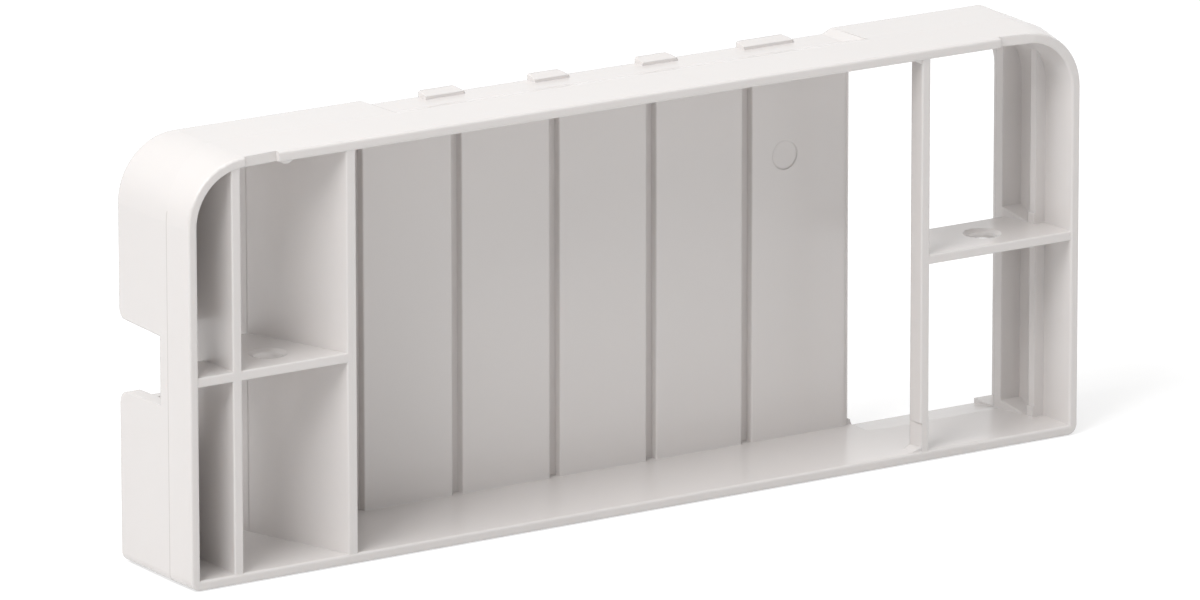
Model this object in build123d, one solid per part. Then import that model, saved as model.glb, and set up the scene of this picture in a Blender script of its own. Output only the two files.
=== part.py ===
from build123d import *
from math import tan, radians
import os

# One-piece moulded housing, open at the front (-Y) and standing on its long edge.
# Millimetres, +Z up, origin on the sole at the middle of the width and of the depth.
# "Behind the rim" means measured along +Y from the plane of the front rim.

# Shell
width = 220.0
height = 89.0
depth = 27.8
wall = 2.1
top_corner_radius = 13.4
rear_corner_radius = 10.0
back_corner_radius = 7.0
sole_corner_radius = 2.2
rim_radius = 0.5
draft = 1.2
top_parting = 13.9
side_parting = 8.3

# Bays on both sides of the middle one, measured from the inside of the end walls
slot_width = 8.3
left_bay_width = 25.2
right_bay_width = 36.2

# Back wall of the middle bay: flat slats between shut grooves, set out from its free end
back_wall_thickness = 3.3
back_wall_end_gap = 0.6
back_wall_end_radius = 3.0
last_slat_width = 25.9
slat_pitch = 24.1
groove_count = 5
groove_width = 2.5
groove_depth = 1.9
slat_edge_radius = 0.25
window_corner_radius = 2.0

# Ejector-pin mark on the last slat
ejector_diameter = 6.2
ejector_depth = 0.25
ejector_from_end = 17.6
ejector_below_ceiling = 22.9

# Slanting partition left of the middle bay
partition_thickness = 2.35
partition_slant = 20.5

# Narrow post right of the middle bay
post_width = 2.1
post_depth = 4.2
post_gusset_width = 2.0
post_gusset_height = 0.9
post_foot_top = 8.2
post_foot_relief = 0.4

# Long rib that closes the slot beside the left wall
slot_rib_width = 2.1
rib_setback = 0.25
rib_edge_radius = 0.3

# Middle shelves with their screw holes
shelf_top = 44.6
shelf_thickness = 2.0
shelf_draft = 0.5
right_shelf_slant = 38.0
hole_diameter = 6.2
countersink_diameter = 8.2
countersink_depth = 0.6
relief_diameter = 9.6
relief_depth = 0.7
hole_behind = 9.1
left_hole_from_rib = 11.6
right_hole_from_wall = 16.6

# Guide rail and stop flange on the inside of both side walls, and the thicker left wall
rail_face = 9.4
rail_depth = 2.2
rail_height = 2.6
rail_foot_width = 0.4
left_liner = 1.2
flange_face = 18.0
flange_thickness = 2.5
right_flange_width = 5.2
plinth_height = 2.4

# Run-out of the sole behind the open right bay
sill_start = 18.8
sill_drop = 0.5

# Cable notch in the left wall, open to the back
notch_face = 11.4
notch_bottom = 36.8
notch_top = 51.3
notch_lower_radius = 3.0
notch_upper_radius = 2.2

# Recess with hook tabs along the back of the top, set out from its left end
recess_from_end = 58.5
recess_length = 116.8
recess_depth = 1.05
recess_ramp = 5.9
recess_end_ramp = 2.4
tab_middles = (18.6, 44.8, 71.6, 98.9)
tab_widths = (9.4, 8.4, 8.7, 12.5)
tab_run = 3.1
tab_height = 1.35
tab_nose_height = 0.65
tab_left_radius = 0.5
tab_right_radius = 1.3

# Shallow finger cuts across the front of the top rim, measured from its two ends
finger_depth = 1.2
left_cut_start = 21.6
left_cut_end = 13.6
left_cut_end_depth = 0.5
right_cut_start = 20.5
right_cut_end = 12.0
right_cut_end_depth = 0.0

# Small rounded stop under the top rim
stop_from_end = 23.6
stop_width = 3.2
stop_height = 0.7
stop_depth = 1.6

front = -depth / 2
back = depth / 2
half_width = width / 2
inner_half = half_width - wall
ceiling = height - wall
mould_slope = tan(radians(draft))
shelf_slope = tan(radians(shelf_draft))
partition_lean = tan(radians(partition_slant))
slot_rib_x = slot_width - inner_half
partition_x = slot_rib_x + slot_rib_width + left_bay_width
post_x = inner_half - right_bay_width - post_width
slat_face = depth - back_wall_thickness
back_wall_end = post_x - back_wall_end_gap
rail_x = inner_half - rail_height
rail_back = rail_face + rail_depth
flange_back = flange_face + flange_thickness
recess_left = recess_from_end - half_width
recess_right = recess_left + recess_length
recess_floor = height - recess_depth
root = wall / 2
grip = inner_half + root
clear = 2 * depth


def behind(distance):
    """Y of a place measured back from the rim."""
    return front + distance


def plan(left, right, near, far):
    """Rectangle seen from above, near and far measured from the rim."""
    middle = Pos((left + right) / 2, behind((near + far) / 2))
    return middle * Rectangle(right - left, far - near)


def raised(outline, bottom, top):
    """Prism that stands on an outline seen from above."""
    return extrude(Pos(0, 0, bottom) * outline, amount=top - bottom, dir=(0, 0, 1))


def upright(points, bottom, top):
    """Prism that stands on a polygon of (x, y) points."""
    return raised(make_face(Polyline(*points, close=True)), bottom, top)


def full_height(outline):
    """Prism rooted in both the sole and the top of the shell."""
    return raised(outline, root, height - root)


def block(left, right, near, far, bottom, top):
    """Box between two places on each axis, near and far measured from the rim."""
    return raised(plan(left, right, near, far), bottom, top)


def crosswise(points, left, right):
    """Prism that runs along the width with a profile of (y, z) points."""
    profile = make_face(Plane.YZ * Polyline(*points, close=True))
    return extrude(Pos(left, 0, 0) * profile, amount=right - left, dir=(1, 0, 0))


def rounded_front(outline, radius=rib_edge_radius):
    """Rib outline seen from above with both corners at the rim rounded."""
    return fillet(outline.vertices().group_by(Axis.Y)[0], radius)


def arched_face(half, top, left_radius, right_radius, below):
    """Outline of the shell seen from the front, square at the foot and round at the top."""
    face = Pos(0, (top - below) / 2) * Rectangle(2 * half, top + below)
    left_corner = face.vertices().sort_by(Axis.Y)[-2:].sort_by(Axis.X)[0]
    face = fillet(left_corner, left_radius)
    right_corner = face.vertices().sort_by(Axis.X)[-2:].sort_by(Axis.Y)[-1]
    return fillet(right_corner, right_radius)


def drafted(face, origin_y, direction, taper):
    """Block with drafted sides that runs from a mould face through the depth of the shell."""
    mould_face = Plane(origin=(0, origin_y, 0), x_dir=(1, 0, 0), z_dir=(0, -1, 0))
    amount = -direction * depth
    return extrude(mould_face * face, amount=amount, taper=taper)


def corner_section(radius, distance):
    """What lies outside the rounded right top corner, at a distance behind the rim."""
    side = half_width + distance * mould_slope
    top = height + distance * mould_slope
    middle = (side - radius, top - radius)
    arc = CenterArc(middle, radius, 0, 90)
    outside = Polyline((side, top - radius), (side + wall, top - radius), (side + wall, top + wall))
    outside += Polyline((side + wall, top + wall), (side - radius, top + wall), (side - radius, top))
    section = Plane(origin=(0, behind(distance), 0), x_dir=(1, 0, 0), z_dir=(0, -1, 0))
    return section * make_face(arc + outside)


def corner_relief():
    """Cut that opens the right top corner from its rear radius to the one of the rim."""
    return loft([corner_section(top_corner_radius, 0), corner_section(rear_corner_radius, side_parting)])


def envelope():
    """Outside of the shell: two drafted mould halves that meet at the parting line."""
    back_half = half_width + (2 * side_parting - depth) * mould_slope
    back_top = height + (2 * top_parting - depth) * mould_slope
    front_face = arched_face(half_width, height, top_corner_radius, rear_corner_radius, root)
    back_face = arched_face(back_half, back_top, top_corner_radius, back_corner_radius, root)
    body = drafted(front_face, front, 1, -draft) & drafted(back_face, back, -1, -draft)
    body -= Pos(0, 0, -height) * Box(2 * width, clear, 2 * height)
    body -= corner_relief()
    sole = body.faces().sort_by(Axis.Z)[0]
    long_corners = [edge for edge in sole.edges() if abs(edge.center().X) > inner_half]
    return fillet(long_corners, sole_corner_radius)


def shell(body):
    """Envelope hollowed right through, with both lips of the front rim rounded."""
    inner_radius = top_corner_radius - wall
    hollow = arched_face(inner_half, ceiling, inner_radius, inner_radius, 0)
    hollow -= Rectangle(2 * width, 2 * wall)
    body -= drafted(hollow, front, 1, draft)
    rim = body.faces().sort_by(Axis.Y)[0]
    return fillet(rim.edges(), rim_radius)


def back_wall():
    """Slats of the middle bay, with the free end rounded towards the open bay."""
    outline = plan(partition_x - slat_face * partition_lean, back_wall_end, slat_face, depth)
    free_corner = outline.vertices().group_by(Axis.Y)[0].sort_by(Axis.X)[-1]
    outline = fillet(free_corner, back_wall_end_radius)
    last_edge = back_wall_end - last_slat_width
    for index in range(groove_count):
        edge = last_edge - index * slat_pitch
        outline -= plan(edge - groove_width, edge, slat_face - root, slat_face + groove_depth)
    first_groove = last_edge - (groove_count - 1) * slat_pitch - groove_width
    on_face = [v for v in outline.vertices() if abs(v.Y - behind(slat_face)) < slat_edge_radius]
    groove_mouths = [v for v in on_face if first_groove - root < v.X < last_edge + root]
    slab = full_height(fillet(groove_mouths, slat_edge_radius))
    mark = Pos(back_wall_end - ejector_from_end, behind(slat_face), ceiling - ejector_below_ceiling)
    mark *= Rot(90, 0, 0)
    return slab - mark * Cylinder(ejector_diameter / 2, 2 * ejector_depth)


def window_corner():
    """Rounded inner corner between the free end of the slats and the sole."""
    radius = window_corner_radius
    floor = wall - sill_drop
    web = block(back_wall_end - root, back_wall_end + radius, slat_face + root, depth, root, floor + radius)
    bend = Pos(back_wall_end + radius, back, floor + radius) * Rot(90, 0, 0)
    return web - bend * Cylinder(radius, clear)


def partition():
    """Thin wall that slants from the rim to the left end of the slats."""
    run = (depth - rib_setback) * partition_lean
    near = behind(rib_setback)
    right = partition_x + partition_thickness
    corners = [(partition_x, near), (right, near), (right - run, back), (partition_x - run, back)]
    return full_height(rounded_front(make_face(Polyline(*corners, close=True))))


def post():
    """Narrow upright bar, relieved at its foot, with a small gusset to its left at both ends."""
    bar = full_height(rounded_front(plan(post_x, post_x + post_width, rib_setback, post_depth)))
    relief = [
        (post_x, behind(post_depth)),
        (post_x - clear, behind(post_depth)),
        (post_x - clear, behind(0)),
        (post_x + post_foot_relief, behind(0)),
    ]
    bar -= upright(relief, wall, post_foot_top)
    for floor, way in ((wall, 1), (ceiling, -1)):
        gusset = [
            (post_x - post_gusset_width, floor),
            (post_x - post_gusset_width, floor - way * root),
            (post_x + root, floor - way * root),
            (post_x + root, floor + way * post_gusset_height),
            (post_x, floor + way * post_gusset_height),
        ]
        web = Pos(0, behind(post_depth), 0) * make_face(Plane.XZ * Polyline(*gusset, close=True))
        bar += extrude(web, amount=post_depth - rim_radius, dir=(0, -1, 0))
    return bar


def slot_rib():
    """Upright rib from the rim to the flange, which shuts off the narrow left slot."""
    outline = plan(slot_rib_x, slot_rib_x + slot_rib_width, rib_setback, flange_back)
    return full_height(rounded_front(outline))


def shelf(points):
    """Plate of a middle shelf on an outline seen from above, with its front lip rounded."""
    rise = depth * shelf_slope
    profile = [
        (front, shelf_top - shelf_thickness),
        (front, shelf_top),
        (back, shelf_top + rise),
        (back, shelf_top - shelf_thickness - rise),
    ]
    plate = upright(points, 0, height) & crosswise(profile, -half_width, half_width)
    lip = plate.edges().group_by(Axis.Y)[0].filter_by(Axis.X)
    return fillet(lip, rib_edge_radius)


def slot_shelf():
    """Short shelf across the left slot."""
    near, far = behind(rib_setback), behind(flange_face + root)
    left, right = -inner_half - root, slot_rib_x + root
    return shelf([(left, near), (right, near), (right, far), (left, far)])


def left_shelf():
    """Shelf from the slot rib to the slanting partition."""
    near, far = behind(rib_setback), behind(slat_face)
    left = slot_rib_x + slot_rib_width - root
    right = partition_x + partition_thickness / 2
    slanted = right - slat_face * partition_lean
    plate = shelf([(left, near), (right, near), (slanted, far), (left, far)])
    return plate - screw_hole(slot_rib_x + slot_rib_width + left_hole_from_rib)


def right_shelf():
    """Shelf from the post to the right wall."""
    near, far = behind(rib_setback), behind(flange_face)
    left = post_x + post_width / 2
    right = grip
    slanted = left + (flange_face - post_depth) * tan(radians(right_shelf_slant))
    corners = [(left, near), (right, near), (right, far), (slanted, far), (left, behind(post_depth))]
    plate = shelf(corners)
    return plate - screw_hole(inner_half - right_hole_from_wall)


def screw_hole(middle):
    """Through hole of a shelf with a conical countersink above and a flat relief below."""
    cone = Cone(hole_diameter / 2, countersink_diameter / 2, countersink_depth)
    hole = Cylinder(hole_diameter / 2, 3 * shelf_thickness)
    hole += Pos(0, 0, -countersink_depth / 2) * cone
    hole += Pos(0, 0, countersink_depth / 2) * Cylinder(countersink_diameter / 2, countersink_depth)
    hole += Pos(0, 0, -shelf_thickness) * Cylinder(relief_diameter / 2, 2 * relief_depth)
    return Pos(middle, behind(hole_behind), shelf_top + hole_behind * shelf_slope) * hole


def rail(left, right):
    """Guide rail that runs up the inside of one side wall."""
    return full_height(plan(left, right, rail_face, rail_back))


def flange(left, right):
    """Upright stop flange between two places on the width."""
    return full_height(plan(left, right, flange_face, flange_back))


def plinth(floor):
    """Ramp that ties the right flange and the rail to a floor below them."""
    edge = inner_half - right_flange_width
    foot = rail_x - rail_foot_width
    hip = [
        (edge, behind(flange_back)),
        (edge, behind(flange_face)),
        (foot, behind(rail_back)),
        (inner_half, behind(rail_back)),
        (inner_half, behind(flange_back)),
    ]
    top = floor + plinth_height
    fall = [
        (behind(rail_back), floor - root),
        (behind(rail_back), floor),
        (behind(flange_face), top),
        (behind(flange_back), top),
        (behind(flange_back), floor - root),
    ]
    ramp = upright(hip, floor - root, top) & crosswise(fall, edge - root, inner_half)
    return ramp + block(foot, inner_half, rail_face, rail_back, floor - root, top)


def sill_cut(left, right):
    """Wedge that lets the sole run out towards the back of an open bay."""
    start = wall + sill_start * mould_slope
    fall = (start - wall + sill_drop) / (depth - sill_start)
    beyond = depth + root
    profile = [
        (behind(sill_start), start),
        (behind(beyond), start - fall * (beyond - sill_start)),
        (behind(beyond), 2 * wall),
        (behind(sill_start), 2 * wall),
    ]
    return crosswise(profile, left, right)


def notch():
    """Cable notch that flares with the mould draft and opens to the back."""
    flare = mould_slope * (clear - notch_face)
    profile = [
        (behind(notch_face), notch_bottom),
        (behind(clear), notch_bottom - flare),
        (behind(clear), notch_top + flare),
        (behind(notch_face), notch_top),
    ]
    return crosswise(profile, -width, slot_rib_x)


def mouth_edges(housing, low, high):
    """Back edges of the left wall that run along X between two heights."""
    across = housing.edges().filter_by(Axis.X).group_by(Axis.Y)[-1]
    on_left_wall = [edge for edge in across if edge.center().X < -inner_half]
    return [edge for edge in on_left_wall if low < edge.center().Z < high]


def notched(housing):
    """Housing with the notch cut and the corners at its mouth rounded."""
    housing -= notch()
    middle = (notch_bottom + notch_top) / 2
    housing = fillet(mouth_edges(housing, notch_bottom - wall, middle), notch_lower_radius)
    return fillet(mouth_edges(housing, middle, notch_top + wall), notch_upper_radius)


def recess():
    """Shallow step along the back of the top, ramped at its front and both ends."""
    top = height + wall
    ridge = height + top_parting * mould_slope
    start = behind(top_parting)
    profile = [
        (start, ridge),
        (behind(top_parting + recess_ramp), recess_floor),
        (behind(clear), recess_floor),
        (behind(clear), top),
        (start, top),
    ]
    ends = [
        (recess_left, top),
        (recess_left, height),
        (recess_left + recess_end_ramp, recess_floor),
        (recess_right - recess_end_ramp, recess_floor),
        (recess_right, height),
        (recess_right, top),
    ]
    across = Pos(0, clear, 0) * make_face(Plane.XZ * Polyline(*ends, close=True))
    return crosswise(profile, recess_left, recess_right) & extrude(across, amount=2 * clear, dir=(0, -1, 0))


def hook_tab(middle, length):
    """Hook tab: a wedge that rises to the back edge, rounded at both ends."""
    near = back - tab_run
    profile = [
        (near, recess_floor - root),
        (near, recess_floor + tab_nose_height),
        (back, recess_floor + tab_height),
        (back, recess_floor - root),
    ]
    face = Pos(middle, recess_floor + (tab_height - root) / 2) * Rectangle(length, tab_height + root)
    left_corner, right_corner = face.vertices().sort_by(Axis.Y)[-2:].sort_by(Axis.X)
    face = fillet(left_corner, tab_left_radius)
    right_corner = face.vertices().sort_by(Axis.X)[-2:].sort_by(Axis.Y)[-1]
    face = fillet(right_corner, tab_right_radius)
    ends = extrude(Pos(0, back, 0) * (Plane.XZ * face), amount=tab_run, dir=(0, -1, 0))
    return ends & crosswise(profile, middle - length / 2, middle + length / 2)


def finger_cut(side, start, end, end_depth):
    """Wedge cut from the front of the top rim near one end."""
    start_x, end_x = side * (half_width - start), side * (half_width - end)
    outline = [
        (start_x, behind(-wall)),
        (start_x, behind(finger_depth)),
        (end_x, behind(end_depth)),
        (end_x, behind(-wall)),
    ]
    return upright(outline, ceiling - wall, height + wall)


def stop():
    """Small rounded stop under the top rim."""
    radius = (stop_height ** 2 + stop_width ** 2 / 4) / (2 * stop_height)
    middle = stop_from_end - half_width
    axis = Pos(middle, behind(rim_radius + stop_depth / 2), ceiling - stop_height + radius) * Rot(90, 0, 0)
    drum = axis * Cylinder(radius, stop_depth)
    left, right = middle - stop_width, middle + stop_width
    return drum & block(left, right, 0, depth, ceiling - stop_height, ceiling + root)


body = envelope()
housing = shell(body)
inside = back_wall() + partition() + post() + slot_rib()
inside += slot_shelf() + left_shelf() + right_shelf()
inside += rail(-grip, -rail_x) + rail(rail_x, grip)
inside += full_height(plan(-grip, left_liner - inner_half, rail_back, depth))
inside += flange(-grip, slot_rib_x + root) + flange(inner_half - right_flange_width, grip)
inside += plinth(wall) + plinth(shelf_top)
housing += inside & body
housing -= sill_cut(back_wall_end, inner_half - right_flange_width)
housing += window_corner() + stop()
housing = notched(housing)
housing -= recess()
for middle, length in zip(tab_middles, tab_widths):
    housing += hook_tab(recess_left + middle, length)
housing -= finger_cut(-1, left_cut_start, left_cut_end, left_cut_end_depth)
housing -= finger_cut(1, right_cut_start, right_cut_end, right_cut_end_depth)

os.makedirs("parts", exist_ok=True)
export_step(housing, "parts/housing.step")
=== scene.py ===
"""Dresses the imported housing: one moulded ABS body, a white paper sweep, soft lamps and the camera."""
import math

import bpy
import numpy as np
from mathutils import Matrix, Vector


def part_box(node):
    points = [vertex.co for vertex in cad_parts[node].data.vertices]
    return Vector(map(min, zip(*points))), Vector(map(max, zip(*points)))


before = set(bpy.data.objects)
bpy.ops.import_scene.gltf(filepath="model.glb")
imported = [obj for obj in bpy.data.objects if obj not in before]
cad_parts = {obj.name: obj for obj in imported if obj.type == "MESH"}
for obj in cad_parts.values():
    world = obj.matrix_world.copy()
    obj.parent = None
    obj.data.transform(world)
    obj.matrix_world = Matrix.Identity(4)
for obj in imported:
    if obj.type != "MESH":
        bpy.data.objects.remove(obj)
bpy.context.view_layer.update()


# ---- The moulding -------------------------------------------------------------------------------
# One injection-moulded body in off-white ABS: walls and ribs about 2 mm thick, all in one shot.
# The steel mould leaves it smooth with a soft gloss, and the thin walls let a little light in.

low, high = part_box("housing")


def linear(hex_code):
    """Linear colour of an sRGB hex value."""
    srgb = np.array([int(hex_code[i : i + 2], 16) for i in (1, 3, 5)]) / 255
    dark, light = srgb / 12.92, ((srgb + 0.055) / 1.055) ** 2.4
    return (*np.where(srgb <= 0.04045, dark, light), 1.0)


def empty_tree(owner):
    """The cleared node tree of a material or of the world."""
    owner.use_nodes = True
    owner.node_tree.nodes.clear()
    return owner.node_tree


def add(tree, kind, settings=None, links=None):
    """A node with its settings made and its inputs linked, each to a socket or to a node's first
    output. A setting is one of the node's own or, failing that, the value of an input."""
    node = tree.nodes.new(kind)
    for name, value in (settings or {}).items():
        if isinstance(name, str) and hasattr(node, name):
            setattr(node, name, value)
        else:
            node.inputs[name].default_value = value
    for name, source in (links or {}).items():
        socket = source.outputs[0] if isinstance(source, bpy.types.Node) else source
        tree.links.new(socket, node.inputs[name])
    return node


def parting_line(tree, place):
    """1 on the thin witness line that the mould halves leave on the straight part of both end walls:
    the distance from the line, faded to 0 over its half width, where an end wall is below its bend."""
    line_half_width = 0.16e-3
    line_behind_rim = 8.3e-3
    line_top = 0.078
    end_band = 1.0e-3
    line_y = low.y + line_behind_rim
    end_x = high.x - end_band
    axes = add(tree, "ShaderNodeSeparateXYZ", None, {"Vector": place}).outputs
    past_line = add(tree, "ShaderNodeMath", {"operation": "SUBTRACT", 1: line_y}, {0: axes["Y"]})
    away = add(tree, "ShaderNodeMath", {"operation": "ABSOLUTE"}, {0: past_line})
    ramp = {"From Max": line_half_width, "To Min": 1.0, "To Max": 0.0}
    fade = add(tree, "ShaderNodeMapRange", ramp, {"Value": away})
    from_middle = add(tree, "ShaderNodeMath", {"operation": "ABSOLUTE"}, {0: axes["X"]})
    on_end = add(tree, "ShaderNodeMath", {"operation": "GREATER_THAN", 1: end_x}, {0: from_middle})
    below_bend = add(tree, "ShaderNodeMath", {"operation": "LESS_THAN", 1: line_top}, {0: axes["Z"]})
    on_wall = add(tree, "ShaderNodeMath", {"operation": "MULTIPLY"}, {0: on_end, 1: below_bend})
    return add(tree, "ShaderNodeMath", {"operation": "MULTIPLY"}, {0: fade, 1: on_wall})


def moulded_abs():
    """Moulded ABS: off-white and semi-gloss, with eased edges, faint orange peel and a parting line,
    which is a shallow bump groove darkened with painted shade.
    """
    peel_size = 1.4e-3
    peel_depth = 0.02e-3
    flow_size = 40e-3
    edge_radius = 0.45e-3
    line_depth = 0.05e-3
    darker_tint = "#dbd7d5"
    lighter_tint = "#dfdbd9"
    # Grey of the painted shade in the parting line's crease.
    painted_shade_tint = "#bdb7b3"
    # Past a roughness of 0.27 the denoiser outlines the duller patches, so none is duller.
    glossiest = 0.20
    dullest = 0.265
    light_depth = 2.0e-3
    colour_a, colour_b, colour_out = 6, 7, 2  # the colour sockets of a Mix node

    material = bpy.data.materials.new("moulded_ABS")
    tree = empty_tree(material)
    place = add(tree, "ShaderNodeTexCoord").outputs["Object"]
    peel = add(tree, "ShaderNodeTexNoise", {"Scale": 1 / peel_size, "Detail": 2.0}, {"Vector": place})
    flow = add(tree, "ShaderNodeTexNoise", {"Scale": 1 / flow_size, "Detail": 3.0}, {"Vector": place})
    line = parting_line(tree, place)
    soft_edges = add(tree, "ShaderNodeBevel", {"samples": 8, "Radius": edge_radius})
    peel_bump = add(
        tree,
        "ShaderNodeBump",
        {"Strength": 0.06, "Distance": peel_depth},
        {"Height": peel, "Normal": soft_edges},
    )
    bump = add(
        tree,
        "ShaderNodeBump",
        {"Strength": 0.5, "Distance": line_depth},
        {"Height": line, "Normal": peel_bump},
    )
    tint = add(
        tree,
        "ShaderNodeMix",
        {"data_type": "RGBA", colour_a: linear(darker_tint), colour_b: linear(lighter_tint)},
        {0: flow},
    )
    # Painted shade: the parting line is darkened towards the grey tint, besides the groove that the bump
    # makes there.
    painted_line_shade = add(
        tree,
        "ShaderNodeMix",
        {"data_type": "RGBA", colour_b: linear(painted_shade_tint)},
        {0: line, colour_a: tint.outputs[colour_out]},
    )
    gloss = add(tree, "ShaderNodeMapRange", {"To Min": glossiest, "To Max": dullest}, {"Value": flow})
    surface = add(
        tree,
        "ShaderNodeBsdfPrincipled",
        {
            "IOR": 1.53,
            "Subsurface Weight": 0.12,
            "Subsurface Scale": light_depth,
            "Subsurface Radius": (1.0, 0.9, 0.8),
        },
        {"Base Color": painted_line_shade.outputs[colour_out], "Roughness": gloss, "Normal": bump},
    )
    add(tree, "ShaderNodeOutputMaterial", None, {"Surface": surface})
    return material


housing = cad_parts["housing"]
housing.data.materials.clear()
housing.data.materials.append(moulded_abs())


# ---- Sweep --------------------------------------------------------------------------------------
# A seamless sheet of matt white paper under and around the housing, laid flat on the table.
# The lens and the gloss see it lifted to white, so that only a faint soft shadow is left on it.

def lens_or_mirror_ray(tree):
    """1 for the rays of the lens and for those that a glossy or a clear surface passes on."""
    ray = add(tree, "ShaderNodeLightPath").outputs
    passed_on = {0: ray["Is Glossy Ray"], 1: ray["Is Transmission Ray"]}
    mirrored = add(tree, "ShaderNodeMath", {"operation": "MAXIMUM"}, passed_on)
    return add(tree, "ShaderNodeMath", {"operation": "MAXIMUM"}, {0: ray["Is Camera Ray"], 1: mirrored})


def sweep_paper():
    """Matt white paper that the lens sees partly as plain white and partly as it is lit."""
    paper_tint = "#f4f4f4"
    white_strength = 1.2
    lift = 0.55
    material = bpy.data.materials.new("sweep_paper")
    tree = empty_tree(material)
    paper = add(tree, "ShaderNodeBsdfDiffuse", {"Color": linear(paper_tint), "Roughness": 1.0})
    white = add(tree, "ShaderNodeEmission", {"Color": linear("#ffffff"), "Strength": white_strength})
    seen = add(tree, "ShaderNodeMath", {"operation": "MULTIPLY", 1: lift}, {0: lens_or_mirror_ray(tree)})
    mix = add(tree, "ShaderNodeMixShader", None, {0: seen, 1: paper, 2: white})
    add(tree, "ShaderNodeOutputMaterial", None, {"Surface": mix})
    return material


sweep_half = 3.0
sweep_gap = 0.0002
sweep_mesh = bpy.data.meshes.new("sweep")
sweep_corners = [(-1, -1), (1, -1), (1, 1), (-1, 1)]
sweep_points = [(x * sweep_half, y * sweep_half, low.z - sweep_gap) for x, y in sweep_corners]
sweep_mesh.from_pydata(sweep_points, [], [(0, 1, 2, 3)])
sweep_mesh.materials.append(sweep_paper())
sweep = bpy.data.objects.new("sweep", sweep_mesh)
bpy.context.scene.collection.objects.link(sweep)


# ---- Room light ---------------------------------------------------------------------------------
# The white studio around the housing: an even fill from all sides.
# The lens and the gloss see its walls as plain white.

def studio_world(fill_strength):
    """World that fills evenly and that the lens and every glossy face see as white."""
    world = bpy.data.worlds.new("studio")
    tree = empty_tree(world)
    fill = add(tree, "ShaderNodeBackground", {"Color": linear("#ffffff"), "Strength": fill_strength})
    white = add(tree, "ShaderNodeBackground", {"Color": linear("#ffffff"), "Strength": 1.0})
    mix = add(tree, "ShaderNodeMixShader", None, {0: lens_or_mirror_ray(tree), 1: fill, 2: white})
    add(tree, "ShaderNodeOutputWorld", None, {"Surface": mix})
    return world


room_fill = 0.47
bpy.context.scene.world = studio_world(room_fill)


# ---- Lamps --------------------------------------------------------------------------------------
# Two large soft boxes: the key high on the left and a little to the front, and one straight above,
# so that the top and every face turned left are the bright ones.

def soft_box(name, place, power):
    """Square area lamp at a place, turned towards the middle of the housing."""
    data = bpy.data.lights.new(name, "AREA")
    data.size = box_size
    data.energy = power
    lamp = bpy.data.objects.new(name, data)
    turn = (middle - Vector(place)).to_track_quat("-Z", "Y").to_matrix().to_4x4()
    lamp.matrix_world = Matrix.Translation(place) @ turn
    bpy.context.scene.collection.objects.link(lamp)


box_size = 1.1
key_place = (-1.22, -0.38, 1.41)
key_power = 25.0
top_place = (0.0, -0.04, 1.9)
top_power = 8.5
middle = (low + high) / 2
soft_box("key", key_place, key_power)
soft_box("top", top_place, top_power)


# ---- Camera -------------------------------------------------------------------------------------
# A long lens from the left of the open front and a little above, rolled by a hair.
# It aims at a point above the sole's middle and is shifted a little in its own plane.

azimuth = math.radians(-33.2555)
elevation = math.radians(14.7373)
roll = math.radians(-0.07096)
distance = 2.449079
sideways = -0.00171133
upwards = -0.00229407
aim_height = 0.04468
image_width = 1200
focal_pixels = 11808.91
sensor = 36.0
far_clip = 20.0
level_right = Vector((math.cos(azimuth), math.sin(azimuth), 0))
level_away = Vector((math.sin(azimuth), -math.cos(azimuth), 0))
away = level_away * math.cos(elevation) + Vector((0, 0, math.sin(elevation)))
level_up = away.cross(level_right)
right = level_right * math.cos(roll) + level_up * math.sin(roll)
up = level_up * math.cos(roll) - level_right * math.sin(roll)
camera_data = bpy.data.cameras.new("camera")
camera_data.sensor_width = sensor
camera_data.lens = focal_pixels / image_width * sensor
camera_data.clip_end = far_clip
camera = bpy.data.objects.new("camera", camera_data)
turn = Matrix((right, up, away)).transposed().to_4x4()
camera_place = Vector((0, 0, aim_height)) + right * sideways + up * upwards + away * distance
camera.matrix_world = Matrix.Translation(camera_place) @ turn
bpy.context.scene.collection.objects.link(camera)
bpy.context.scene.camera = camera
bpy.context.scene.view_settings.view_transform = "Standard"
